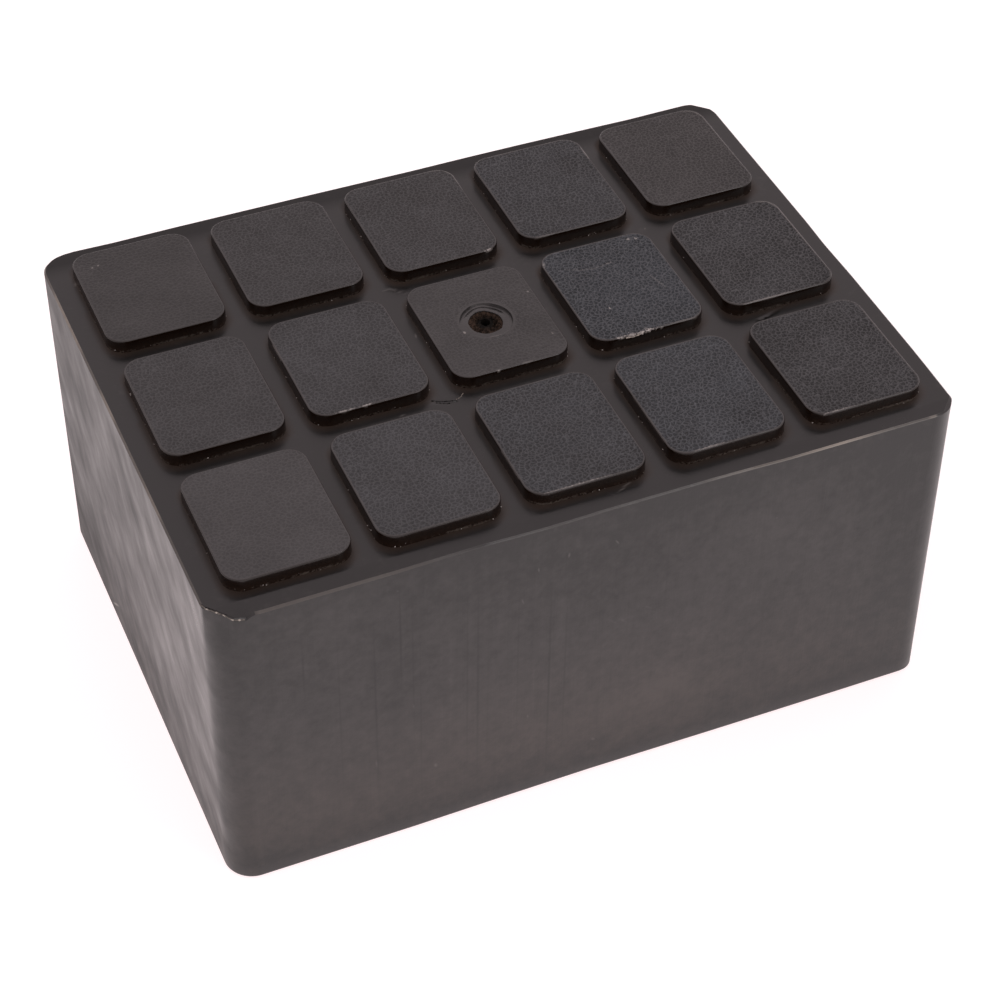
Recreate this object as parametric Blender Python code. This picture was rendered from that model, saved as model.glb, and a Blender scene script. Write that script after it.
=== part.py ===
# Lift arm rubber block: one solid moulding of black rubber with raised pads over its top.
# It is set between the saddle of a vehicle lift's arm and the sill of the vehicle.
# Metres, +Z up, long side along X, origin in the middle of the underside.

from math import cos, pi, radians, sin, tan

import bmesh
import bpy

# The block
LENGTH = 0.160
WIDTH = 0.1175
HEIGHT = 0.080  # underside to the tops of the pads
CORNER_RADIUS = 0.0062  # the four upright corners
TRIMMED_EDGE = 0.0004  # flat left round the land where the flash was cut off
FOOT_EDGE = 0.0008  # rounding round the underside

# The pads, in rows along the length and across the width
PADS_ALONG = 5
PADS_ACROSS = 3
PAD_HEIGHT = 0.0029  # land to pad top
BORDER_ENDS = 0.0055  # land outside the pads at the two ends
BORDER_SIDES = 0.0057  # land outside the pads at the two long sides
GROOVE_ALONG = 0.0050  # gap between neighbours in a row along the length
GROOVE_ACROSS = 0.0059  # gap between the rows
PAD_CORNER_RADIUS = 0.0041
PAD_EDGE_RADIUS = 0.0003
PAD_FOOT_FILLET = 0.0006
PAD_DRAFT = radians(1.5)

# The moulding gate's scar, in the middle pad
GATE_RING_RADIUS = 0.0056
GATE_RING_DEPTH = 0.00045
CRATER_RADIUS = 0.00365
CRATER_DEPTH = 0.0008  # below the ring's floor
PIT_RADIUS = 0.00115
PIT_DEPTH = 0.0050  # below the crater's floor

# How finely the round parts are divided
CORNER_STEPS = 10
PAD_CORNER_STEPS = 6
FILLET_STEPS = 3
TURN_STEPS = 40

ROOT = 0.001  # how far a pad's solid reaches down into the block before they are joined
ABOVE = 0.001  # how far the gate's cutter stands out of the pad

LAND = HEIGHT - PAD_HEIGHT


def black_rubber():
    """Matt black rubber with a slight sheen."""
    material = bpy.data.materials.new("black_rubber")
    material.use_nodes = True
    shader = material.node_tree.nodes["Principled BSDF"]
    shader.inputs["Base Color"].default_value = (0.030, 0.028, 0.028, 1.0)
    shader.inputs["Roughness"].default_value = 0.55
    shader.inputs["Metallic"].default_value = 0.0
    return material


def rounded_outline(half_x, half_y, radius, steps):
    """Points anticlockwise round a rectangle with round corners."""
    points = []
    for quarter, (side_x, side_y) in enumerate(((1, 1), (-1, 1), (-1, -1), (1, -1))):
        for step in range(steps + 1):
            angle = pi / 2 * (quarter + step / steps)
            x = side_x * (half_x - radius) + radius * cos(angle)
            y = side_y * (half_y - radius) + radius * sin(angle)
            points.append((x, y))
    return points


def quarter_arc(offset, height, radius, start):
    """(offset, height) points a quarter turn on from `start`, round the centre given."""
    angles = [start + pi / 2 * step / FILLET_STEPS for step in range(FILLET_STEPS + 1)]
    return [(offset + radius * cos(a), height + radius * sin(a)) for a in angles]


def add_swept_solid(shape, centre, half_x, half_y, radius, section, steps):
    """Adds to `shape` a closed solid whose sides follow `section` round a rounded rectangle.

    The section is a list of (offset from the outline, height), from the bottom up.
    """
    rings = []
    for offset, height in section:
        outline = rounded_outline(half_x + offset, half_y + offset, radius + offset, steps)
        ring = [shape.verts.new((centre[0] + x, centre[1] + y, height)) for x, y in outline]
        rings.append(ring)
    shape.faces.new(reversed(rings[0]))
    shape.faces.new(rings[-1])
    for lower, upper in zip(rings, rings[1:]):
        for first, this in enumerate(lower):
            after = (first + 1) % len(lower)
            shape.faces.new((this, lower[after], upper[after], upper[first]))


def object_from(shape, name):
    mesh = bpy.data.meshes.new(name)
    shape.to_mesh(mesh)
    shape.free()
    made = bpy.data.objects.new(name, mesh)
    bpy.context.scene.collection.objects.link(made)
    return made


def as_helper(made):
    """Keeps an object that only shapes another out of the finished part."""
    made.hide_render = True
    made.display_type = "WIRE"
    return made


def make_block():
    """The plain block up to the land, with its rounded foot and trimmed top edge."""
    section = quarter_arc(-FOOT_EDGE, FOOT_EDGE, FOOT_EDGE, -pi / 2)
    section += [(0.0, LAND - TRIMMED_EDGE), (-TRIMMED_EDGE, LAND)]
    shape = bmesh.new()
    add_swept_solid(shape, (0, 0), LENGTH / 2, WIDTH / 2, CORNER_RADIUS, section, CORNER_STEPS)
    return object_from(shape, "rubber_block")


def pad_section():
    """Side of a pad: root, foot fillet, drafted wall and rounded top edge."""
    spread = PAD_HEIGHT * tan(PAD_DRAFT)
    fillet = quarter_arc(
        spread + PAD_FOOT_FILLET, LAND + PAD_FOOT_FILLET, PAD_FOOT_FILLET, pi
    )
    edge = quarter_arc(-PAD_EDGE_RADIUS, HEIGHT - PAD_EDGE_RADIUS, PAD_EDGE_RADIUS, 0)
    root = (spread + PAD_FOOT_FILLET, LAND - ROOT)
    return [root] + fillet[::-1] + edge


def make_pads():
    """The field of pads, shared out evenly inside the border."""
    pad_x = (LENGTH - 2 * BORDER_ENDS - (PADS_ALONG - 1) * GROOVE_ALONG) / PADS_ALONG
    pad_y = (WIDTH - 2 * BORDER_SIDES - (PADS_ACROSS - 1) * GROOVE_ACROSS) / PADS_ACROSS
    radius = min(PAD_CORNER_RADIUS, pad_x / 2, pad_y / 2)
    section = pad_section()
    shape = bmesh.new()
    for column in range(PADS_ALONG):
        for row in range(PADS_ACROSS):
            centre = (
                (column - (PADS_ALONG - 1) / 2) * (pad_x + GROOVE_ALONG),
                (row - (PADS_ACROSS - 1) / 2) * (pad_y + GROOVE_ACROSS),
            )
            add_swept_solid(
                shape, centre, pad_x / 2, pad_y / 2, radius, section, PAD_CORNER_STEPS
            )
    return as_helper(object_from(shape, "pads"))


def make_gate_cutter():
    """What the moulding gate left: a shallow ring, a torn crater and a narrow pit."""
    ring_floor = HEIGHT - GATE_RING_DEPTH
    crater_floor = ring_floor - CRATER_DEPTH
    pit_end = crater_floor - PIT_DEPTH
    profile = [
        (0.0, HEIGHT + ABOVE),
        (GATE_RING_RADIUS, HEIGHT + ABOVE),
        (GATE_RING_RADIUS, ring_floor),
        (CRATER_RADIUS, ring_floor),
        (PIT_RADIUS, crater_floor),
        (PIT_RADIUS, pit_end + PIT_RADIUS),
        (0.0, pit_end),
    ]
    shape = bmesh.new()
    points = [shape.verts.new((radius, 0.0, height)) for radius, height in profile]
    edges = [shape.edges.new(pair) for pair in zip(points, points[1:])]
    bmesh.ops.spin(
        shape,
        geom=points + edges,
        cent=(0, 0, 0),
        axis=(0, 0, 1),
        angle=2 * pi,
        steps=TURN_STEPS,
        use_merge=True,
    )
    bmesh.ops.remove_doubles(shape, verts=shape.verts, dist=1e-6)
    bmesh.ops.recalc_face_normals(shape, faces=shape.faces)
    return as_helper(object_from(shape, "gate_cutter"))


def add_boolean(made, name, operation, other):
    boolean = made.modifiers.new(name, "BOOLEAN")
    boolean.operation = operation
    boolean.object = other
    boolean.solver = "EXACT"


for old in list(bpy.data.objects):
    bpy.data.objects.remove(old, do_unlink=True)

rubber_block = make_block()
add_boolean(rubber_block, "raised pads", "UNION", make_pads())
add_boolean(rubber_block, "moulding gate", "DIFFERENCE", make_gate_cutter())
rubber_block.data.materials.append(black_rubber())
rubber_block.data.shade_smooth()
rubber_block.data.set_sharp_from_angle(angle=radians(35))
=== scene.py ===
# The finished look of a black rubber block that is set on the arm of a vehicle lift.
# Metres, +Z up, long side along X, origin in the middle of the underside.

from math import atan2, ceil, cos, pi, radians, sin, tan

import bmesh
import bpy
import numpy as np
from mathutils import Matrix, Vector, noise


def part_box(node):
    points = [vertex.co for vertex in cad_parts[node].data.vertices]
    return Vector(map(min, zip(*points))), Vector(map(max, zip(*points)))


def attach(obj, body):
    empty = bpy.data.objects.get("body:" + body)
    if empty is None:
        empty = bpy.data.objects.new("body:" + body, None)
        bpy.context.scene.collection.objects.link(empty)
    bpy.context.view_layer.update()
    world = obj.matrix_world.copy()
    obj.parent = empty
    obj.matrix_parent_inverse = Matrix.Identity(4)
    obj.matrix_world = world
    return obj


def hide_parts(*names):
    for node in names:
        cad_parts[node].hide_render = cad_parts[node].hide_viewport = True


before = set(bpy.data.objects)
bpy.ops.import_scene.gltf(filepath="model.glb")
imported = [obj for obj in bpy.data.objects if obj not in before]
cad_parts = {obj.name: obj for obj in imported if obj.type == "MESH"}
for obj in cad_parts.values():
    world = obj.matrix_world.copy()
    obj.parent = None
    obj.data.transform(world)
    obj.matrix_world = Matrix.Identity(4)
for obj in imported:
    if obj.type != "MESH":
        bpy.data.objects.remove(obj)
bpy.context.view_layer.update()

lowest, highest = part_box("rubber_block")


# The stand: a white sheet over a light table, inside a tent of white cloth that is a little warm
# and grows brighter overhead. A soft lamp at the front right lights the trimmed front edge, and a
# highlight painted into the cut face's colour adds to the bright line there. The camera looks down
# over the front left corner with a long lens.

CAMERA_PLACE = (-0.16113, -0.37688, 0.4158)
CAMERA_TURN = radians(-23.624)
CAMERA_LOOK_DOWN = radians(43.368)
CAMERA_TILT = radians(0.894)
CAMERA_LENS, CAMERA_SENSOR = 91.56, 36.0  # mm
SHEET_RADIUS = 3.0
SHEET_DROP = 0.0002  # keeps the sheet's face off the underside
SHEET_SHADE, SHEET_TONE = (0.29, 0.35, 0.345), (0.32, 0.38, 0.375)
SHEET_COLOUR = (1.0, 0.838, 0.848, 1.0)  # of its glow
SHEET_GLOW = 0.92
SHEET_FADE = 0.6  # how much less it glows for each metre to the right
SHEET_FADE_RUN = 0.15
TENT_COLOUR = (1.0, 0.87, 0.885, 1.0)
TENT_LOW, TENT_HIGH = 0.72, 1.26  # brightness at the horizon and overhead
LAMP_PLACE = (0.68, -1.05, 1.0)
LAMP_SIDE = 0.5
LAMP_POWER = 3.0

scene = bpy.context.scene
scene.view_settings.view_transform = "Standard"


def new_object(name, data):
    """An object in the scene."""
    made = bpy.data.objects.new(name, data)
    scene.collection.objects.link(made)
    return made


lens = bpy.data.cameras.new("camera")
lens.lens = CAMERA_LENS
lens.sensor_width = CAMERA_SENSOR
camera = new_object("camera", lens)
camera.matrix_world = (
    Matrix.Translation(CAMERA_PLACE)
    @ Matrix.Rotation(CAMERA_TURN, 4, "Z")
    @ Matrix.Rotation(pi / 2 - CAMERA_LOOK_DOWN, 4, "X")
    @ Matrix.Rotation(CAMERA_TILT, 4, "Z")
)
scene.camera = camera

lamp_light = bpy.data.lights.new("soft_lamp", "AREA")
lamp_light.shape = "SQUARE"
lamp_light.size = LAMP_SIDE
lamp_light.energy = LAMP_POWER
lamp = new_object("soft_lamp", lamp_light)
lamp.location = LAMP_PLACE
lamp.rotation_mode = "QUATERNION"
lamp.rotation_quaternion = Vector(LAMP_PLACE).to_track_quat("Z", "Y")


def set_inputs(tree, node, values):
    """Sets each named input of a node to a value, or joins it to a socket."""
    for name, value in values.items():
        if isinstance(value, bpy.types.NodeSocket):
            tree.links.new(value, node.inputs[name])
        else:
            node.inputs[name].default_value = value


def add_node(tree, kind, inputs=None, **settings):
    """A new node with its settings and inputs."""
    made = tree.nodes.new(kind)
    for name, value in settings.items():
        setattr(made, name, value)
    set_inputs(tree, made, inputs or {})
    return made


def maths(tree, operation, first, second=0.5, third=0.5):
    """The result of a Math node."""
    values = {0: first, 1: second, 2: third}
    return add_node(tree, "ShaderNodeMath", values, operation=operation).outputs[0]


def times(tree, first, second):
    """One value times another."""
    return maths(tree, "MULTIPLY", first, second)


def times_plus(tree, first, second, third):
    """One value times another, plus a third."""
    return maths(tree, "MULTIPLY_ADD", first, second, third)


def cloudy(tree, place, scale, detail, roughness=0.5):
    """Noise round about a half."""
    values = {"Vector": place, "Scale": scale, "Detail": detail, "Roughness": roughness}
    return add_node(tree, "ShaderNodeTexNoise", values).outputs["Fac"]


def along(tree, place, axis):
    """One coordinate of a place."""
    return add_node(tree, "ShaderNodeSeparateXYZ", {"Vector": place}).outputs[axis]


def blend(tree, dark, light, share):
    """A colour between two, each of them red, green and blue, or a socket."""
    ends = [(*end, 1.0) if isinstance(end, tuple) else end for end in (dark, light)]
    values = {"Factor": share, 6: ends[0], 7: ends[1]}
    return add_node(tree, "ShaderNodeMix", values, data_type="RGBA").outputs[2]


def new_material(name):
    """A named material, its node tree, its Principled shader and the place in the object."""
    material = bpy.data.materials.new(name)
    material.use_nodes = True
    tree = material.node_tree
    place = add_node(tree, "ShaderNodeTexCoord").outputs["Object"]
    return material, tree, tree.nodes["Principled BSDF"], place


tent = bpy.data.worlds.new("white_tent")
tent.use_nodes = True
tent_tree = tent.node_tree
direction = add_node(tent_tree, "ShaderNodeTexCoord").outputs["Generated"]
upward = maths(tent_tree, "MAXIMUM", along(tent_tree, direction, "Z"), 0.0)
strength = times_plus(tent_tree, upward, TENT_HIGH - TENT_LOW, TENT_LOW)
set_inputs(tent_tree, tent_tree.nodes["Background"], {"Color": TENT_COLOUR, "Strength": strength})
scene.world = tent


def paper_finish():
    """Matt white paper with the faintest mottle, lit from below."""
    material, tree, shader, place = new_material("white_paper")
    right = maths(tree, "MAXIMUM", along(tree, place, "X"), 0.0)
    right = maths(tree, "MINIMUM", right, SHEET_FADE_RUN)
    set_inputs(tree, shader, {
        "Base Color": blend(tree, SHEET_SHADE, SHEET_TONE, cloudy(tree, place, 3.0, 2.0)),
        "Roughness": 0.9,
        "Specular IOR Level": 0.2,
        "Emission Color": SHEET_COLOUR,
        "Emission Strength": times_plus(tree, right, -SHEET_FADE, SHEET_GLOW),
    })
    return material


sheet_shape = bmesh.new()
bmesh.ops.create_circle(sheet_shape, cap_ends=True, segments=96, radius=SHEET_RADIUS)
bmesh.ops.translate(sheet_shape, verts=sheet_shape.verts, vec=(0, 0, -SHEET_DROP))
sheet_mesh = bpy.data.meshes.new("paper_sheet")
sheet_shape.to_mesh(sheet_mesh)
sheet_shape.free()
sheet_mesh.materials.append(paper_finish())
sheet = new_object("paper_sheet", sheet_mesh)


# The block: one solid moulding of black rubber, cured in a steel mould that opened at the land.
# Its walls were drawn down the mould, which left fine upright drag lines, and its flash was
# trimmed off round the land with a knife, which left a narrow, wavy cut face.

LENGTH, WIDTH, HEIGHT = highest - lowest
PAD_HEIGHT = 0.0029
LAND = HEIGHT - PAD_HEIGHT
CORNER_RADIUS = 0.0062
TRIMMED_EDGE = 0.0004
FOOT_EDGE = 0.0008
FOOT_STEPS = 4
UNDERSIDE_INSET = 0.004  # the underside is flat from here inwards
PADS_ALONG, PADS_ACROSS = 5, 3
BORDER_ENDS, BORDER_SIDES = 0.0055, 0.0057
GROOVE_ALONG, GROOVE_ACROSS = 0.005, 0.0059
PAD_X = (LENGTH - 2 * BORDER_ENDS - (PADS_ALONG - 1) * GROOVE_ALONG) / PADS_ALONG
PAD_Y = (WIDTH - 2 * BORDER_SIDES - (PADS_ACROSS - 1) * GROOVE_ACROSS) / PADS_ACROSS
COLUMNS = [(i - (PADS_ALONG - 1) / 2) * (PAD_X + GROOVE_ALONG) for i in range(PADS_ALONG)]
ROWS = [(j - (PADS_ACROSS - 1) / 2) * (PAD_Y + GROOVE_ACROSS) for j in range(PADS_ACROSS)]
# Mesh spacing where the land shows, where the pads hide it, and down the walls.
GROOVE_CELL, HIDDEN_CELL, WALL_CELL = 0.00035, 0.0009, 0.0034
TOP_WALL_BAND, TOP_WALL_CELL = 0.003, 0.0008  # closer just under the trimmed edge
# Under the middle pad the block's own surface makes room for the pit that the gate left.
WELL_RADIUS, WELL_DEPTH = 0.003, 0.007


def rise(distance, run):
    """0 to 1 over a run."""
    return np.clip(distance / run, 0, 1)


def fade(distance, run):
    """1 to 0 over a run."""
    return np.clip(1 - distance / run, 0, 1)


def between(places, stops):
    """Values between given (place, value) stops."""
    return np.interp(places, *zip(*stops))


def spaced(stops, steps):
    """Positions through all the stops, evenly spaced between each two by at most its step."""
    lines = [stops[0]]
    for start, end, step in zip(stops, stops[1:], steps):
        lines += list(np.linspace(start, end, ceil((end - start) / step) + 1)[1:])
    return np.array(lines)


def land_lines(half, radius, centres, pad):
    """Mesh lines over the land along one axis, close together in its grooves and borders."""
    stops, steps = [-half, -half + radius], [GROOVE_CELL]
    for before, after in zip(centres, centres[1:]):
        stops += [before + pad / 2, after - pad / 2]
        steps += [HIDDEN_CELL, GROOVE_CELL]
    stops += [half - radius, half]
    steps += [HIDDEN_CELL, GROOVE_CELL]
    return spaced(stops, steps)


def strip(lower, upper):
    """The quads between two closed loops of points."""
    return np.stack([lower, np.roll(lower, -1), np.roll(upper, -1), upper], -1)


def moulded_form(xs, ys, radius, top, section):
    """Points, quads and last loop of a closed form: a rounded sheet with sides and an underside.

    The sheet holds a grid of lines xs and ys at height `top`, and its corners are bent round to
    the radius. The sides follow a section of (offset, height) from its rim. Also returned are
    the point numbers of the rim and of each ring below it.
    """
    x, y = np.meshgrid(xs, ys)
    lengthways = rise(np.abs(x) - xs[-1] + radius, radius)
    across = rise(np.abs(y) - ys[-1] + radius, radius)
    x = x + np.sign(x) * radius * lengthways * (np.sqrt(1 - across**2 / 2) - 1)
    y = y + np.sign(y) * radius * across * (np.sqrt(1 - lengthways**2 / 2) - 1)
    number = np.arange(x.size).reshape(x.shape)
    points = [np.column_stack([x.ravel(), y.ravel(), np.full(x.size, top)])]
    corners = [number[:-1, :-1], number[:-1, 1:], number[1:, 1:], number[1:, :-1]]
    quads = [np.stack(corners, -1).reshape(-1, 4)]
    rim = np.concatenate([number[0, :-1], number[:-1, -1], number[-1, :0:-1], number[:0:-1, 0]])
    edge = points[0][rim, :2]
    core = np.array([xs[-1] - radius, ys[-1] - radius])
    outward = np.sign(edge) * np.maximum(np.abs(edge) - core, 0)
    outward /= np.linalg.norm(outward, axis=1, keepdims=True)
    rings = [rim]
    for step, (offset, height) in enumerate(section):
        ring = x.size + step * len(rim) + np.arange(len(rim))
        points.append(np.column_stack([edge + outward * offset, np.full(len(rim), height)]))
        quads.append(strip(ring, rings[-1]))
        rings.append(ring)
    return np.concatenate(points), np.concatenate(quads), rings


def set_marks(mesh, marks):
    """Gives each point of a mesh a value under each mark's name."""
    for mark, values in marks.items():
        mesh.attributes.new(mark, "FLOAT", "POINT").data.foreach_set("value", values)


def moulded_piece(name, points, quads, cap, materials, marks):
    """A smooth object from points, quads, a last face and marks."""
    mesh = bpy.data.meshes.new(name)
    mesh.from_pydata(points.tolist(), [], quads.tolist() + [cap[::-1].tolist()])
    set_marks(mesh, marks)
    for material in materials:
        mesh.materials.append(material)
    mesh.shade_smooth()
    return new_object(name, mesh)


def nearness(points, path, width):
    """1 on a path of (x, y) points, falling off to 0 at half its width and at its two ends."""
    found = np.zeros(len(points))
    spans = len(path) - 1
    for span, (start, end) in enumerate(zip(path, path[1:])):
        start, run = np.array(start), np.subtract(end, start)
        share = rise((points[:, :2] - start) @ run, run @ run)
        gap = np.linalg.norm(points[:, :2] - start - share[:, None] * run, axis=1)
        taper = 0.35 + 0.65 * np.sin(pi * ((span + share) / spans))
        found = np.maximum(found, 1 - gap / (width / 2 * taper))
    return np.clip(found, 0, 1)


# How far the front edge of the land sags and how wide its cut face is, along X, and how bright
# the highlight painted on the cut faces is along the front and the left.
FRONT_SAG = [
    (-0.0795, 0.0), (-0.0778, 0.00034), (-0.0759, 0.0007), (-0.0738, 0.00125), (-0.0729, 0.0016),
    (-0.0722, 0.0011), (-0.0715, 0.0006), (-0.07, 0.00075), (-0.058, 0.00065), (-0.043, 0.00055),
    (-0.036, 0.00028), (-0.025, 0.0), (-0.019, 0.0002), (-0.012, 0.00035), (-0.004, 0.0002),
    (0.0, 0.00005), (0.024, 0.0), (0.034, 0.0002), (0.04, 0.0004), (0.053, 0.00035), (0.074, 0.0003),
]
FRONT_PAINTED_HIGHLIGHT = [
    (-0.0725, 0.0), (-0.0712, 0.12), (-0.07, 0.2), (-0.046, 0.18),
    (-0.037, 0.1), (-0.025, 0.0), (-0.02, 0.04), (-0.01, 0.06), (0.02, 0.07), (0.026, 0.28),
    (0.03, 0.36), (0.041, 0.42), (0.047, 0.78), (0.053, 1.0), (0.057, 0.7), (0.06, 0.42),
    (0.065, 0.22), (0.0725, 0.22), (0.0735, 1.0), (0.0742, 0.0),
]
LEFT_PAINTED_HIGHLIGHT = [
    (-0.052, 0.2), (-0.03, 0.2), (-0.027, 0.6), (-0.022, 0.6), (-0.016, 0.35), (0.001, 0.35),
    (0.004, 0.8), (0.009, 0.8), (0.013, 0.3), (0.024, 0.3), (0.028, 0.8), (0.044, 0.9), (0.048, 0.3),
]
FRONT_WIDTH = [
    (-0.076, 0.0005), (-0.046, 0.0005), (-0.025, 0.00033), (0.02, 0.00031), (0.053, 0.00036),
    (0.076, 0.00034),
]
# How far inside the straight line the back edge of the land was cut, along X.
BACK_CUT = [
    (-0.075, 0.00028), (-0.072, 0.0), (-0.063, 0.00023), (-0.056, 0.0001), (-0.049, 0.0),
    (-0.02, 0.0), (-0.002, 0.0001), (0.006, 0.00015), (0.02, 0.0), (0.032, 0.0), (0.05, 0.0002),
    (0.06, 0.00037), (0.067, 0.0002), (0.074, 0.0001),
]
# The same for the right edge, along Y.
RIGHT_CUT = [
    (-0.0553, -0.0001), (-0.0534, 0.00045), (-0.051, 0.0004), (-0.045, 0.00023), (-0.038, 0.0001),
    (-0.012, 0.0), (0.0, 0.00023), (0.008, 0.0), (0.05, 0.0),
]
# How far the front wall's foot stands off the table, along X.
FOOT_LIFT = [
    (-0.07, 0.0), (-0.04, 0.0), (-0.02, 0.00035), (0.0, 0.00055), (0.03, 0.0002), (0.06, 0.0),
]
EDGE_REACH = 0.0035  # how far into the land and down the wall an edge's waves run out
FOOT_REACH = 0.02  # how far up the wall the lift of its foot runs out
# The cut across each corner of the land, by the signs of its X and Y: how far in, how many times
# that far down, and how far down the wall it runs out.
CORNER_CUTS = {
    (-1, -1): (0.0009, 0.0, 0.01), (1, -1): (0.0005, 0.5, TRIMMED_EDGE),
    (1, 1): (0.0005, 2.0, TRIMMED_EDGE), (-1, 1): (0.0001, 1.0, TRIMMED_EDGE),
}
FULL_CORNER = 0.0009  # how far the front right corner stands out of its round at the foot
CUT_RINGS = 4
# The torn face of the front left corner: how far it reaches in X and Y, and how ragged it is.
TORN_X, TORN_Y, TORN_RUN, TEAR = -0.0718, -0.053, 0.001, 0.0002
FRONT_BAND, FRONT_RUN = 0.003, 0.0026  # where the front's cut face changes its width
PAINTED_HIGHLIGHT_BAND = 0.0012  # how near a wall the cut face gets its painted highlight

half_x, half_y = LENGTH / 2 - TRIMMED_EDGE, WIDTH / 2 - TRIMMED_EDGE
land_radius = CORNER_RADIUS - TRIMMED_EDGE
wall_top = LAND - TRIMMED_EDGE
wall_heights = spaced([FOOT_EDGE, wall_top - TOP_WALL_BAND, wall_top], [WALL_CELL, TOP_WALL_CELL])
body_section = []
for step in range(1, CUT_RINGS + 1):
    depth = TRIMMED_EDGE * step / CUT_RINGS
    body_section.append((depth, LAND - depth))
body_section += [(TRIMMED_EDGE, height) for height in wall_heights[-2::-1]]
for step in range(1, FOOT_STEPS + 1):
    turn = pi / 2 * step / FOOT_STEPS
    body_section.append((TRIMMED_EDGE - FOOT_EDGE * (1 - cos(turn)), FOOT_EDGE * (1 - sin(turn))))
body_section.append((TRIMMED_EDGE - UNDERSIDE_INSET, 0.0))
points, quads, rings = moulded_form(
    land_lines(half_x, land_radius, COLUMNS, PAD_X),
    land_lines(half_y, land_radius, ROWS, PAD_Y),
    land_radius,
    LAND,
    body_section,
)
x, y, z = points.T.copy()
below = LAND - z

# The cut face is wider or narrower along the front.
front = rise(-y - (WIDTH / 2 - FRONT_BAND), FRONT_RUN) * (below < 0.5 * TRIMMED_EDGE)
y = y + front * (between(x, FRONT_WIDTH) - TRIMMED_EDGE)

# The corners of the land are cut straight across, steeply.
arm_x = np.maximum(np.abs(x) - LENGTH / 2 + CORNER_RADIUS, 0)
arm_y = np.maximum(np.abs(y) - WIDTH / 2 + CORNER_RADIUS, 0)
reach = np.maximum(np.hypot(arm_x, arm_y), 1e-6)
depth, steepness, run_out = np.zeros(len(x)), np.zeros(len(x)), np.ones(len(x))
for (side_x, side_y), cut in CORNER_CUTS.items():
    in_corner = (np.sign(x) == side_x) & (np.sign(y) == side_y)
    depth[in_corner], steepness[in_corner], run_out[in_corner] = cut
lean = np.maximum((arm_x + arm_y) / reach / 2**0.5, 0.1)
straight = np.maximum(CORNER_RADIUS - (CORNER_RADIUS - depth) / lean, 0)
pull = straight * fade(below, run_out) * fade(CORNER_RADIUS - reach, EDGE_REACH)
fuller = (x > 0) * (y < 0) * (2 * arm_x * arm_y / reach**2) ** 2 * (1 - z / LAND)
pull = pull - FULL_CORNER * fuller * (reach / CORNER_RADIUS)
x = x - np.sign(x) * arm_x / reach * pull
y = y - np.sign(y) * arm_y / reach * pull
z = z - straight * steepness * rise(below, TRIMMED_EDGE) * fade(below - TRIMMED_EDGE, FOOT_REACH)

# The waves of the trimmed edges, the hollow under the front, and the well.
z = z - between(x, FRONT_SAG) * fade(below, EDGE_REACH) * fade(y + WIDTH / 2, EDGE_REACH)
y = y - between(x, BACK_CUT) * fade(below, EDGE_REACH) * fade(WIDTH / 2 - y, EDGE_REACH)
x = x - between(y, RIGHT_CUT) * fade(below, EDGE_REACH) * fade(LENGTH / 2 - x, EDGE_REACH)
z = z + between(x, FOOT_LIFT) * fade(z, FOOT_REACH) * fade(y + WIDTH / 2, UNDERSIDE_INSET)
z = np.where((np.hypot(x, y) < WELL_RADIUS) & (below == 0), LAND - WELL_DEPTH, z)
points = np.column_stack([x, y, z])

# The torn face of the front left corner, and where a highlight is painted on the cut face.
shine = np.zeros(len(points))
torn = rise(TORN_X - x, TORN_RUN) * rise(TORN_Y - y, TORN_RUN)
for ring_number, ring in enumerate(rings[: CUT_RINGS + 1]):
    inside = 1 - abs(2 * ring_number / CUT_RINGS - 1)
    for number in ring:
        place = Vector(points[number])
        rough = noise.noise(place * 2600) + 0.6 * noise.noise(place * 6000)
        tear = torn[number] * inside * TEAR * (0.6 + rough)
        points[number, 0] -= np.sign(x[number]) * tear * 0.7
        points[number, 1] -= np.sign(y[number]) * tear * 0.7
        # The cut face near the front and left walls gets a painted highlight.
        if torn[number] < 0.05 and y[number] < -WIDTH / 2 + PAINTED_HIGHLIGHT_BAND:
            shine[number] = between(x[number], FRONT_PAINTED_HIGHLIGHT)
        elif torn[number] < 0.05 and x[number] < -LENGTH / 2 + PAINTED_HIGHLIGHT_BAND:
            shine[number] = between(y[number], LEFT_PAINTED_HIGHLIGHT)

# Knife and mould marks on the land: path, width, depth and how light the mark is.
LAND_MARKS = [
    ([(-0.0188, -0.0165), (-0.0168, -0.0175), (-0.0155, -0.018), (-0.0141, -0.0182)], 0.0009, 0.0004, 0.0),
    ([(-0.0158, 0.0208), (-0.0135, 0.0204), (-0.0112, 0.0178)], 0.0006, 0.0001, 0.15),
    ([(0.0542, -0.0183), (0.0575, -0.0176), (0.0604, -0.0165)], 0.0009, 0.0003, 0.0),
    ([(0.0043, -0.0554), (0.0087, -0.0529)], 0.0004, 0.00006, 0.3),
    ([(-0.0752, 0.0468), (-0.0748, 0.0473)], 0.0006, 0.00005, 0.4),
    ([(-0.0447, 0.0518), (-0.0443, 0.0523)], 0.0006, 0.00005, 0.4),
    ([(0.001, -0.0185), (0.0013, -0.0183)], 0.0005, 0.00002, 0.35),
    ([(-0.0143, 0.0038), (-0.0141, 0.0042)], 0.0005, 0.00002, 0.4),
    ([(-0.0712, -0.0195), (-0.0709, -0.0193)], 0.0005, 0.00002, 0.3),
    ([(-0.0262, -0.018), (-0.0259, -0.0182)], 0.0004, 0.00002, 0.3),
    ([(0.0455, 0.019), (0.0458, 0.0193)], 0.0004, 0.00002, 0.3),
]


def mark_surface(points, scuff, marks, lowest):
    """Sinks each marked path into the points above a height, and notes how light it is."""
    high = points[:, 2] > lowest
    for path, width, depth, light in marks:
        mark = nearness(points, path, width) * high
        points[:, 2] -= mark * depth
        np.maximum(scuff, np.clip(mark * 2, 0, 1) * light, out=scuff)


DUST_AND_SHADOW_REACH = 0.0019
LAND_MARK_REACH = 0.0008  # marks go this far down over the land's edge
scuff = np.zeros(len(points))
mark_surface(points, scuff, LAND_MARKS, LAND - LAND_MARK_REACH)
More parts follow.
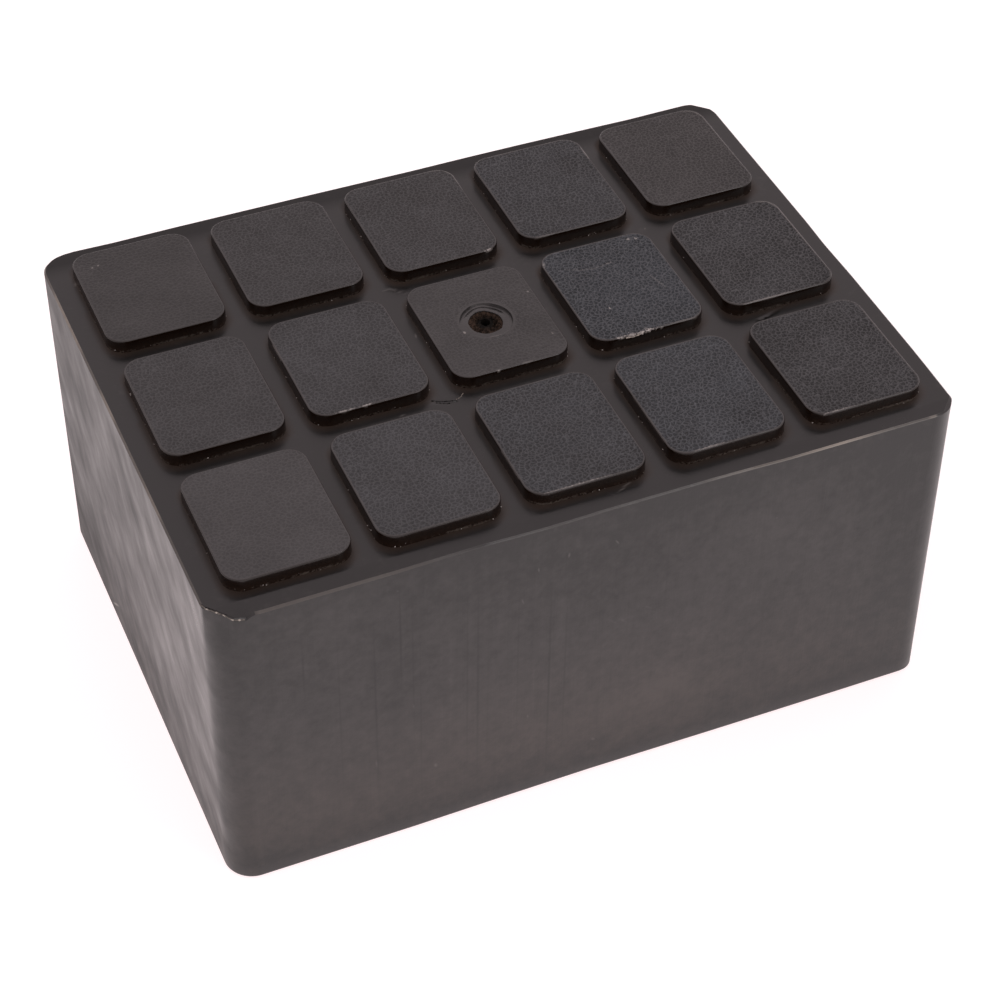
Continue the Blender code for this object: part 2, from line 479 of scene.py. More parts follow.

# A brown band along the pads' feet, most of it in front of them: painted shadow, with some dust.
nearest_x = x - np.array(COLUMNS)[np.abs(x[:, None] - COLUMNS).argmin(axis=1)]
nearest_y = y - np.array(ROWS)[np.abs(y[:, None] - ROWS).argmin(axis=1)]
aside_x = np.maximum(np.abs(nearest_x) - PAD_X / 2 + CORNER_RADIUS / 2, 0)
aside_y = np.maximum(np.abs(nearest_y) - PAD_Y / 2 + CORNER_RADIUS / 2, 0)
from_foot = np.maximum(np.hypot(aside_x, aside_y) - CORNER_RADIUS / 2, 0)
dust = fade(from_foot, np.where(nearest_y < 0, 1.0, 0.6) * DUST_AND_SHADOW_REACH) * (below < TRIMMED_EDGE / 2)

# Bloom and a painted reflection of the bright sheet grey the long walls, least under the trimmed
# edge, most low down and less towards the right; the end walls have an even bloom, and are satin
# at the front and duller towards the back and the foot.
WALL_PAINTED_REFLECTION = [
    (0.0, 0.0), (0.003, 0.1), (0.01, 0.7), (0.017, 1.0), (0.037, 0.7), (0.057, 0.45), (0.069, 0.25),
    (0.0735, 0.08), (0.0771, 0.0),
]
# Smudges on the front wall: middle (x, z), half size (x, z) and how much bloom they add.
SMUDGES = [
    ((0.018, 0.022), (0.01, 0.008), 0.22), ((0.06, 0.042), (0.016, 0.012), 0.15),
    ((0.007, 0.06), (0.014, 0.012), -0.24), ((-0.056, 0.072), (0.014, 0.008), 0.3),
    ((0.035, 0.058), (0.016, 0.013), 0.32), ((-0.02, 0.03), (0.025, 0.01), 0.1),
    ((0.07, 0.05), (0.008, 0.04), -0.25),
]
WALL_BAND = 0.004  # how far round the corners a wall's looks run out
DULL_FOOT = 0.03  # how far up the end walls are duller at the foot
DULL_BACK, DULL_BACK_RUN = 0.05, 0.005  # the land is dull from here back, in Y
on_wall = below > 0.9 * TRIMMED_EDGE
on_long_wall = on_wall * rise(np.abs(y) - WIDTH / 2 + WALL_BAND, WALL_BAND)
on_end_wall = on_wall * rise(np.abs(x) - LENGTH / 2 + WALL_BAND, WALL_BAND)
# Painted reflection of the sheet: lighter low on the long walls, fading towards the right.
bloom = between(z, WALL_PAINTED_REFLECTION) * (1 - 8.0 * np.maximum(x, 0))
for (middle_x, middle_z), (size_x, size_z), added in SMUDGES:
    bloom += added * np.exp(-(((x - middle_x) / size_x) ** 2) - ((z - middle_z) / size_z) ** 2)
bloom = np.clip(bloom, 0, 1.3) * on_long_wall + 0.25 * on_end_wall
backward = (y + WIDTH / 2) / WIDTH
dull = on_end_wall * np.clip(0.1 + 0.45 * backward + 0.45 * fade(z, DULL_FOOT), 0, 1)
dull = dull + 1.2 * (below == 0) * rise(y - DULL_BACK, DULL_BACK_RUN)

# Upright streaks on the front wall: X, top, foot, width and how much bloom they add.
UPRIGHT_STREAKS = [
    (-0.0625, 0.07, 0.045, 0.0007, -0.4), (-0.0555, 0.07, 0.01, 0.0006, -0.3),
    (-0.048, 0.073, 0.002, 0.0007, -0.5), (-0.044, 0.075, 0.002, 0.005, -0.25),
    (-0.0425, 0.076, 0.042, 0.0006, -0.5), (-0.04, 0.07, 0.02, 0.0006, -0.3),
    (-0.0385, 0.06, 0.002, 0.0006, -0.3), (-0.034, 0.07, 0.01, 0.0009, 0.15),
    (-0.032, 0.072, 0.015, 0.0014, 0.22), (-0.0285, 0.073, 0.005, 0.0007, -0.4),
    (-0.0262, 0.07, 0.0, 0.0008, -0.6), (-0.024, 0.06, 0.005, 0.0006, -0.25),
    (-0.0175, 0.072, 0.015, 0.0006, -0.25), (-0.014, 0.06, 0.004, 0.0009, 0.15),
    (-0.0105, 0.062, 0.001, 0.0008, -0.6), (-0.0085, 0.066, 0.03, 0.003, 0.3),
    (-0.007, 0.06, 0.003, 0.0006, -0.35), (0.001, 0.058, 0.002, 0.0006, -0.2),
    (0.015, 0.072, 0.03, 0.0006, -0.2), (0.03, 0.06, 0.01, 0.0006, -0.2),
]
FRONT_STREAKS = [((at, top), (at, foot), *looks) for at, top, foot, *looks in UPRIGHT_STREAKS]
# Slanted streaks and smears: start and end (x, z), width and how much; then small light nicks.
FRONT_STREAKS += [
    ((0.002, 0.0462), (0.0045, 0.0438), 0.0007, 0.5), ((0.0042, 0.0458), (0.007, 0.043), 0.0007, 0.4),
    ((0.01, 0.047), (0.0125, 0.045), 0.0007, 0.6), ((0.011, 0.0452), (0.014, 0.0432), 0.0007, 0.4),
    ((0.012, 0.02), (0.024, 0.025), 0.01, 0.3), ((0.02, 0.036), (0.033, 0.027), 0.004, 0.25),
]
FRONT_NICKS = [
    ((-0.0136, 0.0668), (-0.0134, 0.0652), 0.0005, 0.24), ((-0.007, 0.0685), (-0.0071, 0.0668), 0.0007, 0.24),
    ((0.0028, 0.0682), (0.0038, 0.0666), 0.0005, 0.24), ((-0.017, 0.0594), (-0.0165, 0.0576), 0.0005, 0.18),
    ((-0.0356, 0.0186), (-0.0353, 0.017), 0.0009, 0.24), ((-0.0151, 0.0247), (-0.0149, 0.0235), 0.0006, 0.15),
    ((-0.0002, 0.011), (0.0008, 0.0098), 0.0009, 0.18), ((-0.0484, 0.0254), (-0.0482, 0.0226), 0.0006, 0.12),
    ((-0.0402, 0.0386), (-0.0399, 0.0368), 0.0006, 0.09), ((0.039, 0.0612), (0.0393, 0.0606), 0.0006, 0.12),
    ((-0.0431, 0.0718), (-0.0427, 0.0712), 0.0006, 0.09),
]
# The same for the left wall, from (y, z) to (y, z).
LEFT_SMEARS = [
    ((0.006, 0.043), (0.021, 0.0365), 0.0016, 0.9), ((0.019, 0.038), (0.0265, 0.0295), 0.0014, 0.9),
    ((0.0165, 0.029), (0.0238, 0.0115), 0.0022, 0.8), ((0.0, 0.017), (0.0085, 0.0015), 0.0022, 0.8),
    ((-0.016, 0.046), (0.0, 0.0395), 0.006, 0.6), ((0.003, 0.0433), (0.013, 0.042), 0.002, 0.6),
    ((-0.032, 0.063), (-0.008, 0.048), 0.018, -0.5), ((0.015, 0.061), (0.048, 0.057), 0.014, -0.4),
    ((0.01, 0.026), (0.048, 0.012), 0.024, -0.5), ((-0.048, 0.05), (-0.015, 0.027), 0.022, 0.4),
    ((-0.05, 0.07), (-0.03, 0.062), 0.012, 0.5),
]
LEFT_NICKS = [((0.0198, 0.0073), (0.0268, 0.002), 0.0009, 1.2)]
WALL_MARK_REACH = 0.004  # how far in from its wall a mark still shows
# The end walls were wiped aslant, which left soft bands.
WIPE_SLANT, WIPE_STRETCH = radians(40), 2.2
END_WALL_EDGE = 0.0005
DRAG_STRETCH = 0.012  # how thin the drag lines are for their length
WARM_REACH = 0.045  # how far up from the foot the greying is browner
LAND_BLACK, WALL_BLACK = (0.003, 0.0028, 0.0027), (0.003, 0.0028, 0.0028)
BLOOM_AND_REFLECTION_GREY, BLOOM_AND_REFLECTION_BROWN = (0.033, 0.0305, 0.03), (0.0355, 0.0275, 0.0225)
DUST_AND_SHADOW_BROWN, SCUFF_GREY = (0.0175, 0.0098, 0.0052), (0.2, 0.19, 0.18)
CUT_BLACK, CUT_PAINTED_HIGHLIGHT = (0.01, 0.009, 0.009), (0.165, 0.145, 0.12)
THREAD_LIGHT = (0.45, 0.41, 0.36)


def mark_value(tree, name):
    """The value that the mesh holds under a mark's name."""
    return add_node(tree, "ShaderNodeAttribute", attribute_name=name).outputs["Fac"]


def centred(tree, value):
    """A value round a half, less that half."""
    return maths(tree, "SUBTRACT", value, 0.5)


def ramp(tree, value, start, end, first=0.0, last=1.0, kind="LINEAR"):
    """From the first to the last as a value goes from start to end."""
    values = {"Value": value, "From Min": start, "From Max": end, "To Min": first, "To Max": last}
    return add_node(tree, "ShaderNodeMapRange", values, interpolation_type=kind).outputs["Result"]


def bumped(tree, height, strength, distance=0.0001):
    """The way a slightly uneven surface faces."""
    values = {"Height": height, "Strength": strength, "Distance": distance}
    return add_node(tree, "ShaderNodeBump", values).outputs["Normal"]


def ball(tree, place, centre, turn, size):
    """1 in the middle of an oval ball, falling off to 0 at its surface."""
    values = {"Vector": place, "Location": centre, "Rotation": turn, "Scale": size}
    inside = {"Vector": add_node(tree, "ShaderNodeMapping", values, vector_type="TEXTURE").outputs[0]}
    return add_node(tree, "ShaderNodeTexGradient", inside, gradient_type="SPHERICAL").outputs["Fac"]


def wall_marks(tree, place, wall, marks):
    """The sum of soft oval marks on the front or the left wall."""
    total = 0.0
    for start, end, width, level in marks:
        run, middle = Vector(end) - Vector(start), (Vector(start) + Vector(end)) / 2
        tilt, reach = atan2(run.y, run.x), run.length / 2
        if wall == "front":
            centre, turn = (middle.x, -WIDTH / 2, middle.y), (0, -tilt, 0)
            size = (reach, WALL_MARK_REACH, width / 2)
        else:
            centre, turn = (-LENGTH / 2, middle.x, middle.y), (tilt, 0, 0)
            size = (WALL_MARK_REACH, reach, width / 2)
        total = times_plus(tree, ball(tree, place, centre, turn, size), level, total)
    return total


def folded(tree, place, axis):
    """The place with one of its axes folded over, so that opposite walls bear the same marks."""
    parts = add_node(tree, "ShaderNodeSeparateXYZ", {"Vector": place}).outputs
    sides = {name: parts[name] for name in "XYZ"}
    sides[axis] = times(tree, maths(tree, "ABSOLUTE", parts[axis]), -1.0)
    return add_node(tree, "ShaderNodeCombineXYZ", sides).outputs[0]


def moulded_finish(name, black, shine_level):
    """Satin black rubber with bloom and a painted reflection, a painted shadow with some dust along the pads'
    feet, and upright drag lines where it is a wall.
    """
    material, tree, shader, place = new_material(name)
    cloud = cloudy(tree, place, 45.0, 4.0, 0.6)
    mottle = cloudy(tree, place, 330.0, 3.0, 0.7)
    fine = cloudy(tree, place, 1500.0, 2.0)
    height = along(tree, place, "Z")
    drawn = add_node(tree, "ShaderNodeMapping", {"Vector": place, "Scale": (1.0, 1.0, DRAG_STRETCH)})
    on_wall = maths(tree, "LESS_THAN", height, LAND - TRIMMED_EDGE)
    drag = times(tree, cloudy(tree, drawn.outputs[0], 900.0, 3.0, 0.7), on_wall)
    greyness = times(tree, mark_value(tree, "bloom"), times_plus(tree, cloud, 0.6, 0.7))
    greyness = times_plus(tree, centred(tree, cloud), 0.4, greyness)
    greyness = times_plus(tree, centred(tree, drag), 0.3, greyness)
    scuffed, smear = mark_value(tree, "scuff"), 0.0
    if name == "wall_rubber":
        front, left = folded(tree, place, "Y"), folded(tree, place, "X")
        uneven = times_plus(tree, mottle, 2.4, -0.25)
        greyness = times_plus(tree, wall_marks(tree, front, "front", FRONT_STREAKS), uneven, greyness)
        greyness = maths(tree, "ADD", greyness, wall_marks(tree, left, "left", LEFT_SMEARS))
        scuffed = maths(tree, "ADD", scuffed, wall_marks(tree, front, "front", FRONT_NICKS))
        scuffed = maths(tree, "ADD", scuffed, wall_marks(tree, left, "left", LEFT_NICKS))
        slant = {"Vector": left, "Rotation": (WIPE_SLANT, 0, 0), "Scale": (1.0, WIPE_STRETCH, 1.0)}
        slanted = add_node(tree, "ShaderNodeMapping", slant, vector_type="TEXTURE").outputs[0]
        flat_from, flat_to = CORNER_RADIUS / 2 - LENGTH / 2, END_WALL_EDGE - LENGTH / 2
        on_end_wall = ramp(tree, along(tree, left, "X"), flat_from, flat_to)
        smear = times(tree, centred(tree, cloudy(tree, slanted, 150.0, 5.0, 0.52)), on_end_wall)
        greyness = times_plus(tree, smear, 2.0, greyness)
    greyness = times_plus(tree, greyness, 0.7, times_plus(tree, mottle, 1.2, -0.6))
    low = times_plus(tree, smear, -4.0, ramp(tree, height, 0.0, WARM_REACH, 1.0, 0.0))
    # Greyed by bloom, and on the long walls by a painted reflection of the sheet.
    colour = blend(tree, black, blend(tree, BLOOM_AND_REFLECTION_GREY, BLOOM_AND_REFLECTION_BROWN, low), greyness)
    # A painted brown shadow along the pads' feet, with some dust that also roughens the land.
    dust = times(tree, mark_value(tree, "dust"), times_plus(tree, cloud, 1.6, 0.1))
    colour = blend(tree, colour, DUST_AND_SHADOW_BROWN, dust)
    rough = times_plus(tree, drag, 0.05, times_plus(tree, cloud, 0.1, 0.24))
    rough = times_plus(tree, mark_value(tree, "dull"), 0.32, rough)
    rough = times_plus(tree, dust, 0.35, rough)
    set_inputs(tree, shader, {
        "Base Color": blend(tree, colour, SCUFF_GREY, scuffed),
        "Roughness": times_plus(tree, smear, -0.45, rough),
        "Specular IOR Level": shine_level,
        "Normal": bumped(tree, times_plus(tree, drag, 1.5, fine), 0.12),
    })
    return material


def cut_finish():
    """Rubber where the knife went through: smoother, and lighter where a highlight is painted on it."""
    material, tree, shader, place = new_material("knife_cut_rubber")
    ripple = cloudy(tree, place, 700.0, 3.0)
    # Painted highlight: the cut face's colour is lightened along its bright line.
    lit = times(tree, mark_value(tree, "shine"), times_plus(tree, ripple, 0.6, 0.7))
    colour = blend(tree, CUT_BLACK, CUT_PAINTED_HIGHLIGHT, lit)
    set_inputs(tree, shader, {
        "Base Color": blend(tree, colour, THREAD_LIGHT, mark_value(tree, "scuff")),
        "Roughness": times_plus(tree, ripple, 0.2, 0.25),
        "Normal": bumped(tree, ripple, 0.2),
    })
    return material


cut_rubber = cut_finish()
block = moulded_piece(
    "moulded_block",
    points,
    quads,
    rings[-1],
    [
        moulded_finish("land_rubber", LAND_BLACK, 0.44),
        cut_rubber,
        moulded_finish("wall_rubber", WALL_BLACK, 0.5),
    ],
    {"shine": shine, "scuff": scuff, "bloom": bloom, "dull": dull, "dust": dust},
)
around = len(rings[0])
first_side = len(quads) - (len(rings) - 1) * around
slots = np.zeros(len(block.data.polygons), dtype=np.int32)
slots[first_side:] = 2
cut_faces = slice(first_side, first_side + CUT_RINGS * around)
slots[cut_faces] = np.where(torn[quads[cut_faces, 0]] > 0.05, 2, 1)
block.data.polygons.foreach_set("material_index", slots)
block.data.set_sharp_from_angle(angle=radians(28))
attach(block, "root")
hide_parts("rubber_block")


# The torn flash: thin threads of black rubber that the knife left hanging on the land's front left
# corner, and on the chipped edge of one pad. They are drawn along paths with varying thickness.

FLASH_SPACING = 0.00012
FLASH_WANDER = 0.00035
CORNER_SPECKS = (22, 42, 58, 74, 86)  # bright bits, in degrees round the corner from the left wall
SPECK_REACH = 3
# How much highlight is painted on the corner's thread.
FLASH_PAINTED_HIGHLIGHT = 0.38
CORNER_THREAD = 0.00014  # thickness
THREAD_INSET = 0.0002  # how far inside the front wall the corner's thread stays
# Other threads: path, thickness, painted highlight and how light they are.
FLASH_PATHS = [
    ([(0.0246, -0.0159, 0.0797), (0.0262, -0.016, 0.0795), (0.028, -0.0159, 0.0796)], 0.0001, 0.9, 0.5),
    ([(-0.0188, -0.0161, LAND), (-0.0168, -0.0171, LAND), (-0.0155, -0.0176, LAND),
      (-0.0141, -0.0178, LAND)], 0.00011, 0.0, 0.0),
    ([(-0.0143, -0.0178, LAND), (-0.013, -0.0174, LAND), (-0.0121, -0.0166, LAND)], 0.00009, 0.8, 0.0),
    (
        [
            (-0.0022, -0.0055, 0.07986), (-0.0012, -0.0062, 0.07988), (0.0002, -0.0064, 0.07988),
            (0.0019, -0.0059, 0.07986),
        ],
        0.00008, 0.0, 0.0,
    ),
]


def vector_maths(tree, operation, first, second):
    """The vector result of a Vector Math node."""
    values = {0: first, "Scale" if operation == "SCALE" else 1: second}
    return add_node(tree, "ShaderNodeVectorMath", values, operation=operation).outputs[0]


def named_value(tree, name):
    """The value that a mesh holds for each point under a name."""
    return add_node(
        tree, "GeometryNodeInputNamedAttribute", {"Name": name}, data_type="FLOAT"
    ).outputs["Attribute"]


def wander(tree, place, scale, detail):
    """A way to drift, different from place to place."""
    values = {"Vector": place, "Scale": scale, "Detail": detail}
    drift = add_node(tree, "ShaderNodeTexNoise", values).outputs["Color"]
    return vector_maths(tree, "SUBTRACT", drift, (0.5, 0.5, 0.5))


def new_tree(name, sockets, result):
    """A geometry node tree with named inputs and one result, and what it is given."""
    tree = bpy.data.node_groups.new(name, "GeometryNodeTree")
    for socket, kind in sockets.items():
        tree.interface.new_socket(socket, in_out="INPUT", socket_type="NodeSocket" + kind)
    tree.interface.new_socket(result, in_out="OUTPUT", socket_type="NodeSocketGeometry")
    return tree, add_node(tree, "NodeGroupInput").outputs


def close_tree(tree, shape, rubber, result):
    """Makes a tree's shape whole, dresses it in its rubber and hands it over."""
    whole = add_node(tree, "GeometryNodeRealizeInstances", {"Geometry": shape}).outputs[0]
    dressed = add_node(tree, "GeometryNodeSetMaterial", {"Geometry": whole, "Material": rubber})
    add_node(tree, "NodeGroupOutput", {result: dressed.outputs[0]})
    return tree


def settle(made, tree, settings):
    """Runs a node tree on an object and turns what it makes into the object's own plain mesh."""
    nodes = made.modifiers.new(tree.name, "NODES")
    nodes.node_group = tree
    for item in tree.interface.items_tree:
        if item.in_out == "INPUT" and item.name in settings:
            nodes[item.identifier] = settings[item.name]
    seen = bpy.context.evaluated_depsgraph_get()
    plain = bpy.data.meshes.new_from_object(made.evaluated_get(seen), depsgraph=seen)
    made.modifiers.clear()
    made.data = plain
    plain.name = made.name
    return made


def flash_tree():
    """Uneven threads of flash along the given edges."""
    sockets = {"Paths": "Geometry", "Spacing": "Float", "Wander": "Float", "Rubber": "Material"}
    tree, given = new_tree("torn_flash", sockets, "Flash")
    line = add_node(tree, "GeometryNodeMeshToCurve", {"Mesh": given["Paths"]}).outputs[0]
    even = {"Curve": line, "Length": given["Spacing"]}
    even = add_node(tree, "GeometryNodeResampleCurve", even, mode="LENGTH").outputs[0]
    place = add_node(tree, "GeometryNodeInputPosition").outputs[0]
    aside = vector_maths(tree, "SCALE", wander(tree, place, 1600.0, 2.0), given["Wander"])
    bent = add_node(tree, "GeometryNodeSetPosition", {"Geometry": even, "Offset": aside}).outputs[0]
    swell = times_plus(tree, cloudy(tree, place, 2600.0, 1.0), 2.6, -0.3)
    thick = times(tree, named_value(tree, "thick"), swell)
    ring = add_node(tree, "GeometryNodeCurvePrimitiveCircle", {"Resolution": 6, "Radius": 1.0})
    swept = {"Curve": bent, "Profile Curve": ring.outputs[0], "Scale": thick, "Fill Caps": True}
    threads = add_node(tree, "GeometryNodeCurveToMesh", swept).outputs[0]
    return close_tree(tree, threads, given["Rubber"], "Flash")


corner_turns = [4, 32, 50, 66, 95]
for speck in CORNER_SPECKS:
    corner_turns += [speck - SPECK_REACH, speck, speck + SPECK_REACH]
corner_turns.sort()
corner_path = []
for turn in corner_turns:
    cut_across = (CORNER_RADIUS - CORNER_CUTS[-1, -1][0]) / cos(radians(turn - 45))
    from_centre = min(CORNER_RADIUS, cut_across)
    corner_x = CORNER_RADIUS - LENGTH / 2 - from_centre * cos(radians(turn))
    corner_y = CORNER_RADIUS - WIDTH / 2 - from_centre * sin(radians(turn))
    corner_y = max(corner_y, THREAD_INSET - WIDTH / 2)
    droop = between(corner_x, FRONT_SAG) * (1 - (corner_y + WIDTH / 2) / EDGE_REACH)
    corner_path.append((corner_x, corner_y, LAND - TRIMMED_EDGE / 2 - max(droop, 0.0)))
ends, edges, thick, shine, light = [], [], [], [], []
for path, thickness, highlight_level, level in [(corner_path, CORNER_THREAD, FLASH_PAINTED_HIGHLIGHT, 0.0)] + FLASH_PATHS:
    first = len(ends)
    ends += path
    edges += [(first + step, first + step + 1) for step in range(len(path) - 1)]
    thick += [thickness] * len(path)
    shine += [highlight_level] * len(path)
    light += [level] * len(path)
for number, turn in enumerate(corner_turns):
    light[number] = 0.8 if turn in CORNER_SPECKS else 0.0
flash_paths = bpy.data.meshes.new("torn_flash")
flash_paths.from_pydata(ends, edges, [])
# The threads are lightened by a painted highlight, as the cut face is.
set_marks(flash_paths, {"thick": thick, "scuff": light, "shine": shine})
flash = new_object("torn_flash", flash_paths)
settings = {"Spacing": FLASH_SPACING, "Wander": FLASH_WANDER, "Rubber": cut_rubber}
settle(flash, flash_tree(), settings)
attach(flash, "root")
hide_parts("rubber_block")


# The raised pads: part of the same moulding, in five columns of three, with a leather-like grain
# that the mould's etched face gave them: a net of low ridges round small pits, deepest towards the
# right. Their feet are ragged, with crumbs of torn flash lying along them.

PAD_CORNER_RADIUS = 0.0041
PAD_EDGE_RADIUS = 0.0003
FOOT_RAGGED = 0.00022  # how far the foot wanders in and out
FOOT_BAND = 0.00025  # height of the band over the foot that wanders with it
PAD_DRAFT = radians(1.5)
PAD_ROOT = 0.0008  # how far a pad reaches down into the block
PAD_CELL = 0.0002
ROUND_STEPS = 3
WALL_FALLS = (0.0007, 0.0014, 0.0022)  # loops down a pad's wall
DIRT_HEIGHT = 0.0017  # brown dirt lies this far up a pad's wall
GRAIN_CELL = 0.00098
GRAIN_RIDGE = 0.18  # share of a cell over which its ridge falls to the pit
GRAIN_WANDER = 0.0006
GRAIN_FADE = 0.0002  # the grain runs out this far from a pad's edge
DEEP_GRAIN = 0.0002  # a grain this deep looks its darkest
END_COLUMN_FROM = 0.048  # the right-hand column, in X, is less bluish
CRUMB_RADIUS, CRUMBS_PER_AREA = 0.0001, 0.5e6
PAD_WALL_BLACK, PAD_TOP_BLACK = (0.005, 0.0018, 0.0004), (0.0018, 0.0015, 0.0012)
PAD_GREY, PAD_BLUISH = (0.035, 0.033, 0.0325), (0.0355, 0.0412, 0.0478)
PAINTED_RIM_HIGHLIGHT, LIP_HIGHLIGHT_BROWN = (0.046, 0.046, 0.05), (0.055, 0.047, 0.039)
DIRT_BROWN, CHIP_AND_HIGHLIGHT_GREY = (0.013, 0.0062, 0.003), (0.36, 0.34, 0.32)
# Depth of the grain on each pad, front row first, left to right.
GRAIN_DEPTHS = [
    [0.00009, 0.00015, 0.00018, 0.00021, 0.0002],
    [0.00012, 0.00014, 0.00008, 0.00026, 0.0002],
    [0.00007, 0.00012, 0.00013, 0.00017, 0.00013],
]
# How much bloom greys each pad, in the same order.
PAD_BLOOM = [
    [0.67, 0.67, 0.68, 0.82, 0.66],
    [0.46, 0.57, 0.38, 1.06, 0.68],
    [0.2, 0.38, 0.41, 0.59, 0.47],
]


def pad_section(root):
    """Side of a pad from its rounded top edge down its wall and foot into the block."""
    spread = PAD_HEIGHT * tan(PAD_DRAFT)
    turns = [pi / 2 * step / ROUND_STEPS for step in range(ROUND_STEPS + 1)]
    section = [
        (PAD_EDGE_RADIUS * sin(turn), HEIGHT - PAD_EDGE_RADIUS * (1 - cos(turn))) for turn in turns[1:]
    ]
    section += [(PAD_EDGE_RADIUS + fall * tan(PAD_DRAFT), HEIGHT - fall) for fall in WALL_FALLS]
    foot = PAD_EDGE_RADIUS + spread
    return section + [(foot, LAND + FOOT_BAND), (foot, LAND), (foot, LAND - root)]


def pad_marks(points, top_count, rim_rings, foot_rings):
    """The values that steer the grain and the crumbs, for each point of a pad."""
    on_top = (np.arange(len(points)) < top_count).astype(float)
    arm = np.abs(points[:, :2]) - (np.array([PAD_X, PAD_Y]) / 2 - PAD_CORNER_RADIUS)
    outward = np.linalg.norm(np.maximum(arm, 0), axis=1) + np.minimum(arm.max(axis=1), 0)
    gap = PAD_CORNER_RADIUS - PAD_EDGE_RADIUS - outward
    rim, foot = np.zeros(len(points)), np.zeros(len(points))
    # The first ring of each pad's edge rounding gets a painted highlight.
    rim[np.concatenate(rim_rings)] = 1.0
    foot[np.concatenate(foot_rings)] = 1.0
    return {
        "top": on_top, "grained": on_top * rise(gap, GRAIN_FADE), "rim": rim, "foot": foot,
        "scuff": np.zeros(len(points)),
    }


def pad_blank():
    """A smooth pad at the origin."""
    half = [PAD_X / 2 - PAD_EDGE_RADIUS, PAD_Y / 2 - PAD_EDGE_RADIUS]
    radius = PAD_CORNER_RADIUS - PAD_EDGE_RADIUS
    lines = [
        spaced([-side, -side + radius, side - radius, side], [PAD_CELL] * 3) for side in half
    ]
    points, quads, rings = moulded_form(*lines, radius, HEIGHT, pad_section(PAD_ROOT))
    marks = pad_marks(points, len(lines[0]) * len(lines[1]), rings[1:2], rings[-3:-1])
    return moulded_piece("pad_blank", points, quads, rings[-1], [], marks)


def crumb_blank():
    """A jagged crumb about a fifth of a millimetre across."""
    shape = bmesh.new()
    bmesh.ops.create_icosphere(shape, subdivisions=1, radius=CRUMB_RADIUS)
    for point in shape.verts:
        point.co *= 1 + 0.5 * noise.noise(point.co * 9000)
    mesh = bpy.data.meshes.new("crumb_blank")
    shape.to_mesh(mesh)
    shape.free()
    return new_object("crumb_blank", mesh)


def wandering_net(tree, place, cell, ridge_share, drift):
    """Winding ridges over the ground plan, in a net and in loose loops: 1 on a ridge, 0 in a pit."""
    aside = vector_maths(tree, "SCALE", wander(tree, place, 700.0, 1.0), drift)
    bent = vector_maths(tree, "ADD", place, aside)
    cells = {"Vector": bent, "Scale": maths(tree, "DIVIDE", 1.0, cell)}
    kind = {"feature": "DISTANCE_TO_EDGE", "voronoi_dimensions": "2D"}
    net = add_node(tree, "ShaderNodeTexVoronoi", cells, **kind).outputs["Distance"]
    loops = cloudy(tree, place, maths(tree, "DIVIDE", 1.15, cell), 0.0)
    off_loop = times(tree, maths(tree, "ABSOLUTE", centred(tree, loops)), 3.2)
    off_ridge = maths(tree, "MINIMUM", net, off_loop)
    return ramp(tree, off_ridge, 0.0, ridge_share, 1.0, 0.0, "SMOOTHSTEP")


def put_on_points(tree, points, blank, **more):
    """A copy of the blank on each point."""
    shape = add_node(tree, "GeometryNodeObjectInfo", {"Object": blank}).outputs["Geometry"]
    values = {"Points": points, "Instance": shape, **more}
    return add_node(tree, "GeometryNodeInstanceOnPoints", values).outputs[0]


def grained_pads_tree():
    """Pads on the given points, each pitted by a wandering net of ridges, with crumbs at the foot."""
    sockets = {
        "Pads": "Geometry", "Pad blank": "Object", "Crumb": "Object", "Cell size": "Float",
        "Ridge share": "Float", "Wander": "Float", "Ragged foot": "Float", "Crumbs per area": "Float",
        "Seed": "Int", "Rubber": "Material",
    }
    tree, given = new_tree("grained_pads", sockets, "Pads")
    placed = put_on_points(tree, given["Pads"], given["Pad blank"])
    pads = add_node(tree, "GeometryNodeRealizeInstances", {"Geometry": placed}).outputs[0]

    place = add_node(tree, "GeometryNodeInputPosition").outputs[0]
    ridge = wandering_net(tree, place, given["Cell size"], given["Ridge share"], given["Wander"])
    patchy = times_plus(tree, cloudy(tree, place, 160.0, 2.0), 0.9, 0.55)
    pit = times(tree, maths(tree, "SUBTRACT", 1.0, ridge), patchy)
    cut = times(tree, pit, times(tree, named_value(tree, "grain_depth"), named_value(tree, "grained")))
    sunk = add_node(tree, "ShaderNodeCombineXYZ", {"Z": times(tree, cut, -1.0)}).outputs[0]
    foot = named_value(tree, "foot")
    frayed = times(tree, foot, given["Ragged foot"])
    ragged = vector_maths(tree, "SCALE", wander(tree, place, 1300.0, 2.0), frayed)
    moved = {"Geometry": pads, "Offset": vector_maths(tree, "ADD", sunk, ragged)}
    pressed = add_node(tree, "GeometryNodeSetPosition", moved).outputs[0]

    sown = {
        "Mesh": pressed,
        "Selection": maths(tree, "GREATER_THAN", foot, 0.9),
        "Density": given["Crumbs per area"],
        "Seed": given["Seed"],
    }
    spots = add_node(tree, "GeometryNodeDistributePointsOnFaces", sown).outputs
    sizes = {2: 0.4, 3: 1.6, "Seed": given["Seed"]}
    size = add_node(tree, "FunctionNodeRandomValue", sizes, data_type="FLOAT").outputs[1]
    turned = {"Rotation": spots["Rotation"], "Scale": size}
    crumbs = put_on_points(tree, spots["Points"], given["Crumb"], **turned)
    light = maths(tree, "POWER", maths(tree, "DIVIDE", size, 1.6), 3.0)
    greyed = {"Geometry": crumbs, "Name": "scuff", "Value": light}
    kind = {"data_type": "FLOAT", "domain": "INSTANCE"}
    greyed = add_node(tree, "GeometryNodeStoreNamedAttribute", greyed, **kind).outputs[0]
    joined = add_node(tree, "GeometryNodeJoinGeometry")
    tree.links.new(greyed, joined.inputs[0])
    tree.links.new(pressed, joined.inputs[0])
    return close_tree(tree, joined.outputs[0], given["Rubber"], "Pads")


